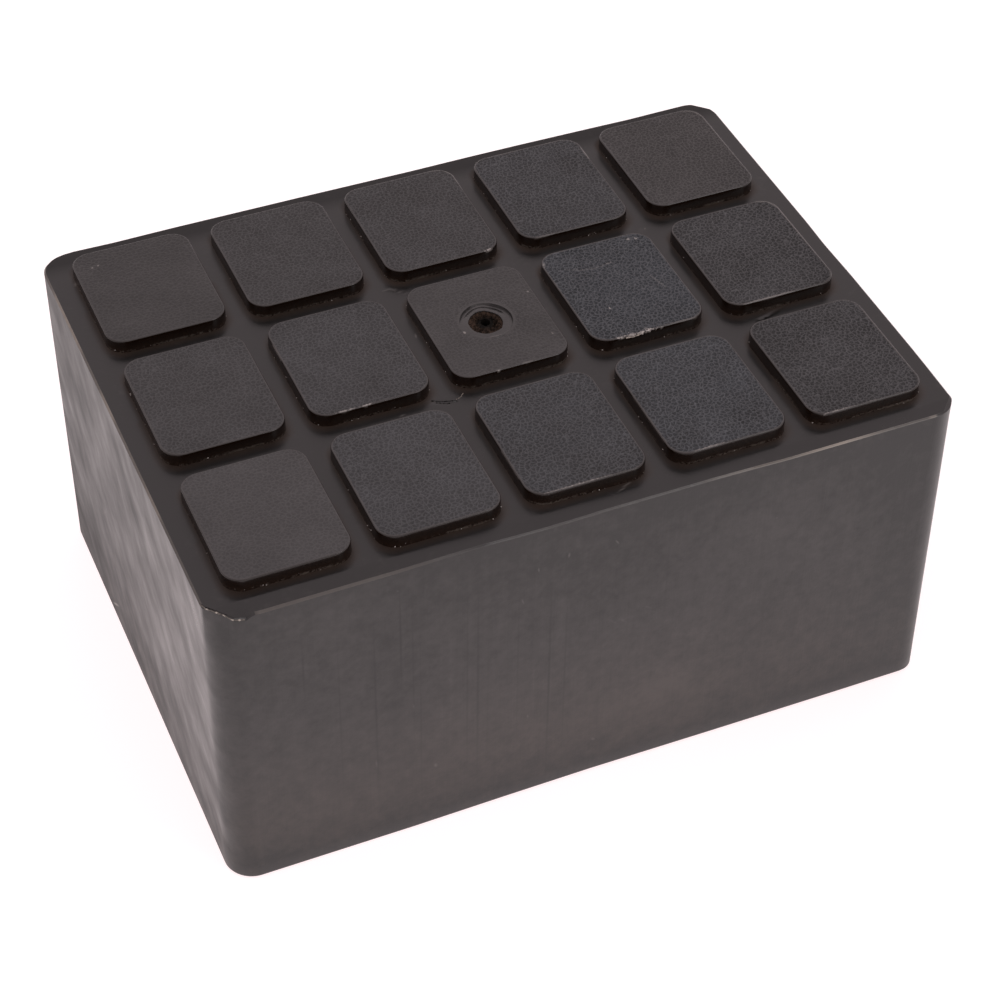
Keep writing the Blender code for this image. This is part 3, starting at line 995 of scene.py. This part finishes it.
def grained_finish():
    """Black rubber that is polished on the ridges of its grain and dull in the pits."""
    material, tree, shader, place = new_material("grained_black_rubber")
    cloud = cloudy(tree, place, 90.0, 4.0, 0.6)
    fine = cloudy(tree, place, 1700.0, 3.0, 0.6)
    on_top = mark_value(tree, "top")
    ridge = wandering_net(tree, place, GRAIN_CELL, GRAIN_RIDGE, GRAIN_WANDER)
    deep = times(tree, mark_value(tree, "grain_depth"), 1 / DEEP_GRAIN)
    deep = times(tree, deep, mark_value(tree, "grained"))
    hollow = times(tree, maths(tree, "SUBTRACT", 1.0, ridge), deep)

    greyness = times_plus(tree, cloud, 0.8, mark_value(tree, "bloom"))
    greyness = times_plus(tree, centred(tree, fine), 0.7, greyness)
    greyness = times(tree, maths(tree, "SUBTRACT", greyness, 0.35), on_top)
    greyness = maths(tree, "SUBTRACT", greyness, times(tree, hollow, 0.42))
    end_column = maths(tree, "GREATER_THAN", along(tree, place, "X"), END_COLUMN_FROM)
    bluish = times_plus(tree, end_column, -0.5, times_plus(tree, deep, 1.5, -0.5))
    dark = blend(tree, PAD_WALL_BLACK, PAD_TOP_BLACK, on_top)
    colour = blend(tree, dark, blend(tree, PAD_GREY, PAD_BLUISH, bluish), greyness)
    # A painted highlight along the rounding of each pad's top edge.
    rim = times(tree, mark_value(tree, "rim"), times_plus(tree, cloud, 0.6, -0.05))
    colour = blend(tree, colour, PAINTED_RIM_HIGHLIGHT, rim)
    low = ramp(tree, along(tree, place, "Z"), LAND, LAND + DIRT_HEIGHT, 1.0, 0.0)
    colour = blend(tree, colour, DIRT_BROWN, times(tree, low, times_plus(tree, fine, 2.0, -0.3)))
    # A painted highlight, in patches, along the lip at each pad's foot.
    patchy = times_plus(tree, fine, 4.0, times_plus(tree, cloud, 5.0, -4.2))
    colour = blend(tree, colour, LIP_HIGHLIGHT_BROWN, times(tree, mark_value(tree, "foot"), patchy))
    rough = times_plus(tree, hollow, 0.45, times_plus(tree, on_top, 0.1, 0.2))
    relief = times_plus(tree, hollow, -1.0, times(tree, fine, 0.9))
    set_inputs(tree, shader, {
        # Chips, scuffs and crumbs, and the painted highlights on pad edges, are lighter grey.
        "Base Color": blend(tree, colour, CHIP_AND_HIGHLIGHT_GREY, mark_value(tree, "scuff")),
        "Roughness": times_plus(tree, fine, 0.08, rough),
        "Normal": bumped(tree, relief, 0.35),
    })
    return material


crumb = crumb_blank()
pads_tree = grained_pads_tree()
pad_rubber = grained_finish()


def grained_pads(name, places, blank, seed):
    """A piece with a grained pad at each (column, row)."""
    spots = bpy.data.meshes.new(name)
    spots.from_pydata([(COLUMNS[i], ROWS[j], 0.0) for i, j in places], [], [])
    set_marks(spots, {
        "grain_depth": [GRAIN_DEPTHS[j][i] for i, j in places],
        "bloom": [PAD_BLOOM[j][i] for i, j in places],
    })
    settings = {
        "Pad blank": blank, "Crumb": crumb, "Cell size": GRAIN_CELL, "Ridge share": GRAIN_RIDGE,
        "Wander": GRAIN_WANDER, "Ragged foot": FOOT_RAGGED, "Crumbs per area": CRUMBS_PER_AREA,
        "Seed": seed, "Rubber": pad_rubber,
    }
    return settle(new_object(name, spots), pads_tree, settings)


# Dents, scratches and chips on the pads: path, width, depth and how light the mark is.
PAD_MARKS = [
    ([(0.0392, 0.0131), (0.0398, 0.0127), (0.0404, 0.0131)], 0.0016, 0.0004, 0.0),
    ([(0.0388, 0.0141), (0.0393, 0.0138)], 0.0007, 0.0, 0.7),
    ([(0.0405, 0.0138), (0.0408, 0.0133)], 0.0006, 0.0, 0.6),
    ([(0.022, 0.0095), (0.025, 0.008), (0.028, 0.0075), (0.0325, 0.008)], 0.0005, 0.00008, 0.12),
    ([(0.03, 0.0077), (0.0325, 0.0081)], 0.0004, 0.0, 0.35),
    ([(0.038, 0.001), (0.0395, -0.004)], 0.0005, 0.00008, 0.15),
    ([(0.0253, -0.0058), (0.0257, -0.0062)], 0.0006, 0.0, 0.8),
    ([(0.0116, 0.0055), (0.0119, 0.0055)], 0.0006, 0.0, 0.35),
    ([(0.0109, -0.009), (0.0112, -0.009)], 0.0006, 0.0, 0.35),
    ([(0.0074, -0.0125), (0.0082, -0.0126)], 0.0008, 0.00025, 0.0),
    ([(-0.0708, 0.0477), (-0.0706, 0.0478)], 0.0005, 0.0, 0.5),
    ([(-0.0694, 0.048), (-0.0692, 0.0481)], 0.0005, 0.0, 0.4),
    ([(0.0245, -0.0138), (0.0247, -0.0137)], 0.0005, 0.0, 0.5),
    ([(0.0257, -0.0146), (0.0259, -0.0145)], 0.0005, 0.0, 0.6),
    ([(0.0237, -0.0149), (0.0239, -0.0148)], 0.0005, 0.0, 0.5),
    ([(-0.0016, -0.00575), (0.0, -0.006), (0.0016, -0.00575)], 0.0005, 0.0003, 0.0),
    ([(-0.0014, -0.0052), (0.0, -0.00545), (0.0012, -0.0053)], 0.0004, 0.0, 0.1),
]
# Where the edge of a pad's top is worn or torn light, and where a highlight is painted along it: path, width
# and how light.
PAD_EDGE_WEAR_AND_HIGHLIGHT = [
    ([(0.0228, -0.0155), (0.0284, -0.0156)], 0.001, 0.75),
    ([(0.0282, -0.0157), (0.0295, -0.0154), (0.031, -0.0156)], 0.0017, 1.0),
    ([(0.0316, -0.0157), (0.0332, -0.0157)], 0.0006, 0.5),
    ([(0.035, -0.0155), (0.042, -0.0155)], 0.0005, 0.12),
    ([(-0.0392, -0.0155), (-0.035, -0.0155)], 0.0005, 0.5),
    ([(-0.034, -0.0155), (-0.0312, -0.0155)], 0.0005, 0.6),
    ([(-0.0048, -0.0157), (-0.0032, -0.0157)], 0.0005, 0.4),
    ([(0.0014, -0.0155), (0.0038, -0.0155)], 0.0005, 0.15),
    ([(0.0088, 0.0218), (0.0115, 0.0218)], 0.0009, 0.6),
    ([(0.052, -0.0155), (0.064, -0.0155)], 0.0005, 0.24),
    # Painted highlights along the front row's front edges.
    ([(-0.01, -0.0527), (0.0045, -0.0527)], 0.0005, 0.24),
    ([(-0.0092, -0.0527), (0.002, -0.0527)], 0.0004, 0.6),
    ([(0.0224, -0.0527), (0.0288, -0.0527)], 0.0006, 0.24),
    ([(0.0232, -0.0527), (0.0286, -0.0527)], 0.0005, 0.65),
    ([(0.0505, -0.0527), (0.0582, -0.0527)], 0.0005, 0.2),
    ([(0.0512, -0.0527), (0.0572, -0.0527)], 0.0004, 0.6),
    ([(0.0604, -0.0527), (0.064, -0.0527)], 0.0005, 0.12),
    ([(0.02, 0.0218), (0.025, 0.0218)], 0.0005, 0.1),
    ([(-0.0129, -0.047), (-0.0129, -0.038)], 0.0004, 0.1),
    ([(0.0179, -0.048), (0.0179, -0.033)], 0.0004, 0.06),
    ([(-0.0437, 0.004), (-0.0437, 0.0095)], 0.0004, 0.16),
    ([(0.0182, 0.0115), (0.0188, 0.013)], 0.0007, 0.4),
    # Thin painted highlights round the far edges.
    ([(0.0743, -0.0492), (0.0743, -0.023)], 0.0005, 0.08),
    ([(0.0743, -0.011), (0.0743, 0.0118), (0.0731, 0.0146), (0.0705, 0.0155)], 0.0005, 0.18),
    ([(0.0743, 0.025), (0.0743, 0.049), (0.0731, 0.0518), (0.0705, 0.0528)], 0.0005, 0.13),
    ([(0.0434, 0.044), (0.0434, 0.0485)], 0.0005, 0.24),
    ([(0.0128, 0.044), (0.0126, 0.05), (0.0112, 0.0524), (0.008, 0.053), (-0.011, 0.053)], 0.0006, 0.13),
    ([(0.021, 0.053), (0.033, 0.053)], 0.0006, 0.18),
    ([(0.033, 0.053), (0.04, 0.053)], 0.0006, 0.1),
    ([(-0.041, 0.053), (-0.02, 0.053)], 0.0005, 0.08),
    ([(0.052, 0.053), (0.066, 0.053)], 0.0005, 0.13),
]
PAD_MARK_REACH, WEAR_REACH = 0.0006, 0.0005  # how far below the top a pad is marked, and how far its edge wear and painted highlights reach
SMOOTH_BELOW = 0.25  # an edge less light than this is lightened evenly along its length
TORN_FROM, TORN_PULL = 0.7, 0.0005  # an edge at least this light is torn, and how far it is pulled
TORN_SEED = 1796060626


def read_values(rows, name, count):
    """What the rows of a mesh hold under a name, as one array."""
    values = np.empty(count)
    rows.foreach_get(name, values)
    return values


def weather(made):
    """Marks and wears a finished piece of pads, and paints highlights along some of their edges."""
    count = len(made.data.vertices)
    places = read_values(made.data.vertices, "co", 3 * count).reshape(-1, 3)
    scuff = read_values(made.data.attributes["scuff"].data, "value", count)
    mark_surface(places, scuff, PAD_MARKS, HEIGHT - PAD_MARK_REACH)
    high = places[:, 2] > HEIGHT - WEAR_REACH
    for path, width, light in PAD_EDGE_WEAR_AND_HIGHLIGHT:
        worn_and_highlit = np.clip(1.6 * nearness(places, path, width), 0, 1) * high
        for number in np.nonzero(worn_and_highlit > 0)[0] if light > SMOOTH_BELOW else []:
            rough = 0.5 + noise.noise(Vector(places[number]) * 1800)
            worn_and_highlit[number] *= min(1.0, max(0.0, 3.0 * rough - 0.9))
        # Worn edges and painted edge highlights lighten the pad.
        scuff = np.maximum(scuff, worn_and_highlit * light)
        if light > TORN_FROM:
            for number in np.nonzero(worn_and_highlit > 0)[0]:
                pulled = noise.noise_vector(Vector(places[number]) * 2300) * TORN_PULL * worn_and_highlit[number]
                places[number] += (pulled.x, pulled.y, -abs(pulled.z))
    made.data.vertices.foreach_set("co", places.ravel())
    made.data.attributes["scuff"].data.foreach_set("value", scuff)
    made.data.update()


noise.seed_set(TORN_SEED)
blank = pad_blank()
middle = (PADS_ALONG // 2, PADS_ACROSS // 2)
for i in range(PADS_ALONG):
    places = [(i, j) for j in range(PADS_ACROSS) if (i, j) != middle]
    pads = grained_pads(f"pad_column_{i + 1}", places, blank, 7 + i)
    weather(pads)
    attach(pads, "root")
    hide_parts("rubber_block")
bpy.data.objects.remove(blank, do_unlink=True)


# The middle pad: the rubber was pushed into the mould through a gate here. It left a stepped ring,
# a crater where the gate's plug was torn out, and a narrow pit. The crater's rubber is dark brown
# and fibrous, with one split and a lifted flap beside it.

GATE_LOOP_POINTS = 400
GATE_RING_RADIUS = 0.0056
GATE_RING_DEPTH = 0.00045
CRATER_CENTRE = (-0.0002, -0.0004)
CRATER_RADIUS = 0.00365
CRATER_FLOOR = 0.0011  # below the pad's top
CRATER_TILT = 0.0006  # how much deeper its floor lies at the front
PIT_CENTRE = (0.00005, 0.00065)
PIT_RADIUS = 0.00105
PIT_DEPTH = 0.0062  # below the pad's top
GATE_ROOT = 0.005  # how far this pad reaches down into the block
PLAIN_LOOPS = 50
RING_WOBBLE, RING_SHIVER = 0.00012, 0.00005  # how uneven the ring's edge is, coarse and fine
RIM_WOBBLE, RIM_SHIVER = 0.00016, 0.00012  # the same for the crater's rim
INNER_STEP = 0.00028
TORN_DEPTH = 0.00055  # how ragged the crater's wall is
# Depth of the ring's outer step, as a share, by the angle round it in degrees.
STEP_SHARES = [
    (0, 0.95), (55, 0.9), (70, 0.55), (85, 0.4), (100, 0.5), (110, 0.8), (150, 0.9), (175, 0.5),
    (200, 0.2), (240, 0.15), (300, 0.2), (325, 0.5), (345, 0.9), (360, 0.95),
]
# Depth of a second, inner step, as a share.
INNER_STEP_SHARES = [
    (0, 0.0), (20, 0.3), (30, 1.0), (48, 0.9), (60, 0.5), (100, 0.4), (115, 0.8), (130, 0.6),
    (150, 0.0), (360, 0.0),
]
# How far the crater's rim stands out or in from its radius.
RIM_WANDER = [
    (0, -0.0002), (45, -0.00015), (90, 0.0), (130, 0.0001), (180, 0.0001), (215, 0.0003), (250, 0.0002),
    (290, 0.0001), (330, -0.0001), (360, -0.0002),
]
# Loops from the ring in to the crater's rim: how far in, and the shares of both steps there.
RING_LOOPS = [
    (0.02, 0.6, 0), (0.05, 1.0, 0), (0.2, 0.9, 0), (0.34, 0.75, 0), (0.42, 0.65, 0), (0.44, 0.65, 0.9),
    (0.48, 0.65, 1.0), (0.55, 0.6, 0.4), (0.7, 0.4, 0.25), (0.84, 0.3, 0.2), (0.94, 0.25, 0.2),
    (1.0, 0.3, 0.2),
]
CRATER_LOOPS = [0.015, 0.04, 0.08, 0.14, 0.21, 0.29, 0.38, 0.47, 0.56, 0.65, 0.74, 0.83, 0.91, 1.0]
PIT_LOOPS = [0.15, 0.35, 0.6, 0.8, 0.93, 1.0]
# The split in the crater, and what lifted beside it: path, width and how far it stands up.
CRATER_TEARS = [
    ([(0.0013, -0.0012), (0.0018, -0.0006), (0.0026, 0.0002)], 0.0007, -0.0007),
    ([(0.0015, -0.0021), (0.0021, -0.0013), (0.0027, -0.0006)], 0.0008, 0.0004),
    ([(-0.0029, 0.0006), (-0.0018, 0.0012)], 0.0007, 0.0003),
    ([(-0.0012, 0.0024), (-0.0004, 0.0014)], 0.0006, 0.0003),
]
# A light speck on the ring's edge: path, width and how far down it goes.
RING_SPECK, RING_SPECK_WIDTH, RING_SPECK_REACH = [(-0.0058, -0.0017), (-0.0057, -0.0023)], 0.0006, 0.0003
GRAIN_FROM, GRAIN_RUN = 0.0058, 0.0006  # from the gate's middle
CRATER_SHADE_BLACK, CRATER_BROWN = (0.0024, 0.0017, 0.001), (0.044, 0.0285, 0.02)
CRATER_LOW, CRATER_HIGH = 0.002, 0.0004  # below the pad's top: where the painted shade is darkest and lightest
PIT_SHADE = (2.4 * PIT_RADIUS, 2.0 * PIT_RADIUS, 0.004)  # half sizes of the painted shade round the pit


def even_outline(half_x, half_y, radius, count):
    """Evenly spaced points anticlockwise round a rectangle with round corners, with outward ways."""
    upright, level = half_y - radius, half_x - radius
    run = upright + pi / 2 * radius + level
    walked = np.arange(count) / count * 4 * run
    quarter = (walked // run).astype(int)
    walked = walked - quarter * run
    walked = np.where(quarter % 2 == 1, run - walked, walked)
    turn = np.clip((walked - upright) / radius, 0, pi / 2)
    x = level + radius * np.cos(turn) - np.maximum(walked - upright - pi / 2 * radius, 0)
    y = np.minimum(walked, upright) + radius * np.sin(turn)
    sign_x = np.where((quarter == 1) | (quarter == 2), -1, 1)
    sign = np.column_stack([sign_x, np.where(quarter > 1, -1, 1)])
    return np.column_stack([x, y]) * sign, np.column_stack([np.cos(turn), np.sin(turn)]) * sign


def by_angle(stops, angles):
    """Values round the gate from (degrees, value) stops."""
    return np.interp(angles, [radians(stop[0]) for stop in stops], [stop[1] for stop in stops])


def gate_blank():
    """The middle pad at the origin: loops from its outline in to the pit's end, and its sides."""
    count = GATE_LOOP_POINTS
    half_x, half_y = PAD_X / 2 - PAD_EDGE_RADIUS, PAD_Y / 2 - PAD_EDGE_RADIUS
    outline, outward = even_outline(half_x, half_y, PAD_CORNER_RADIUS - PAD_EDGE_RADIUS, count)
    angles = np.arange(count) / count * 2 * pi
    way = np.column_stack([np.cos(angles), np.sin(angles)])
    wobble = np.array([noise.noise(Vector((*(1.7 * spoke), 0.0))) for spoke in way])
    shiver = np.array([noise.noise(Vector((*(16 * spoke), 3.0))) for spoke in way])
    ring = way * (GATE_RING_RADIUS + RING_WOBBLE * wobble + RING_SHIVER * shiver)[:, None]
    loops, depths, torn = [], [], []
    for step in range(PLAIN_LOOPS + 1):
        loops.append(outline + (ring - outline) * step / PLAIN_LOOPS)
        depths.append(np.zeros(count))
        torn.append(0.0)

    # The ring: an outer step, a floor, an inner step, and the floor up to the crater's rim.
    outer = GATE_RING_DEPTH * by_angle(STEP_SHARES, angles)
    inner = INNER_STEP * by_angle(INNER_STEP_SHARES, angles)
    rim_radius = CRATER_RADIUS + by_angle(RIM_WANDER, angles) + RIM_WOBBLE * wobble + RIM_SHIVER * shiver
    rim = np.array(CRATER_CENTRE) + way * rim_radius[:, None]
    for share, sunk, second in RING_LOOPS:
        loops.append(ring + (rim - ring) * share)
        depths.append(outer * sunk + inner * second)
        torn.append(0.0)

    # The crater: a steep torn lip, then a fibrous bowl down to the pit.
    pit = np.array(PIT_CENTRE) + way * (PIT_RADIUS * (1 + 0.12 * wobble))[:, None]
    edge = depths[-1]
    for share in CRATER_LOOPS:
        loop = rim + (pit - rim) * share
        fall = min(1.0, 0.35 + 0.9 * share) if share > 0.03 else 0.25
        fibre = np.array([
            noise.noise(Vector((5.0 * spoke[0], 5.0 * spoke[1], 2.2 * share)))
            + 0.8 * noise.noise(Vector((13.0 * spoke[0], 13.0 * spoke[1], 3.0 * share)))
            + 0.5 * noise.noise(Vector((*(loop[k] * 4200), 1.0)))
            for k, spoke in enumerate(way)
        ])
        loops.append(loop)
        floor = CRATER_FLOOR + CRATER_TILT * rise(-loop[:, 1], CRATER_RADIUS)
        ragged = TORN_DEPTH * fibre * sin(pi * min(1, share + 0.12))
        depths.append(edge + (floor - edge) * fall + ragged)
        torn.append(1.0)
    for share in PIT_LOOPS:
        narrow = 1 - 0.25 * share if share < 1 else 0.35
        loops.append(np.array(PIT_CENTRE) + (pit - PIT_CENTRE) * narrow)
        depths.append(depths[-1] * 0 + CRATER_FLOOR + (PIT_DEPTH - CRATER_FLOOR) * share)
        torn.append(1.0)
    points = [np.column_stack([loop, HEIGHT - depth]) for loop, depth in zip(loops, depths)]
    for offset, height in pad_section(GATE_ROOT):
        points.append(np.column_stack([outline + outward * offset, np.full(count, height)]))
    number = np.arange(len(points) * count).reshape(len(points), count)
    inward, sides = number[:len(loops)], np.vstack([number[:1], number[len(loops):]])
    quads = [strip(outer_loop, inner_loop) for outer_loop, inner_loop in zip(inward, inward[1:])]
    quads += [strip(lower, upper) for upper, lower in zip(sides, sides[1:])]
    points = np.concatenate(points)
    torn = np.concatenate([np.repeat(torn, count), np.zeros((len(sides) - 1) * count)])

    for path, width, lift in CRATER_TEARS:
        points[:, 2] += nearness(points, path, width) * lift * (torn > 0.5)
    marks = pad_marks(points, len(loops) * count, [number[len(loops)]], list(number[-3:-1]))
    gap = np.hypot(points[:, 0], points[:, 1])
    marks["grained"] *= rise(gap - GRAIN_FROM, GRAIN_RUN)
    marks["torn"] = torn
    speck = nearness(points, RING_SPECK, RING_SPECK_WIDTH)
    marks["scuff"] = np.clip(1.5 * speck, 0, 0.4) * (points[:, 2] > HEIGHT - RING_SPECK_REACH)
    made = moulded_piece("gate_blank", points, np.concatenate(quads), number[-1], [], marks)
    end = bmesh.new()
    end.from_mesh(made.data)
    end.verts.ensure_lookup_table()
    end.faces.new([end.verts[k] for k in number[len(loops) - 1]])
    end.to_mesh(made.data)
    end.free()
    return made


def torn_finish():
    """Brown-black rubber that was torn and not moulded: dull and fibrous, with painted shade darkest low down
    and round the pit.
    """
    material, tree, shader, place = new_material("torn_rubber")
    fibre = cloudy(tree, place, 1500.0, 4.0, 0.65)
    # Painted shade: darker low in the crater and round the pit.
    low = ramp(tree, along(tree, place, "Z"), HEIGHT - CRATER_LOW, HEIGHT - CRATER_HIGH)
    share = times(tree, low, times_plus(tree, fibre, 3.4, -0.95))
    near_pit = ball(tree, place, (*PIT_CENTRE, HEIGHT - CRATER_FLOOR), (0, 0, 0), PIT_SHADE)
    set_inputs(tree, shader, {
        "Base Color": blend(tree, CRATER_SHADE_BLACK, CRATER_BROWN, times_plus(tree, near_pit, -1.2, share)),
        "Roughness": 0.8,
        "Specular IOR Level": 0.12,
        "Normal": bumped(tree, fibre, 0.8, 0.0003),
    })
    return material


blank = gate_blank()
gate_pad = grained_pads("gate_pad", [middle], blank, 12)
weather(gate_pad)
gate_pad.data.materials.clear()
for finish in (pad_rubber, torn_finish()):
    gate_pad.data.materials.append(finish)
gate_pad.data.set_sharp_from_angle(angle=radians(42))
torn_marks = gate_pad.data.attributes["torn"].data
torn_points = read_values(torn_marks, "value", len(torn_marks))
for face in gate_pad.data.polygons:
    face.material_index = int(min(torn_points[list(face.vertices)]) > 0.5)
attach(gate_pad, "root")
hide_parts("rubber_block")
for helper in (blank, crumb):
    bpy.data.objects.remove(helper, do_unlink=True)
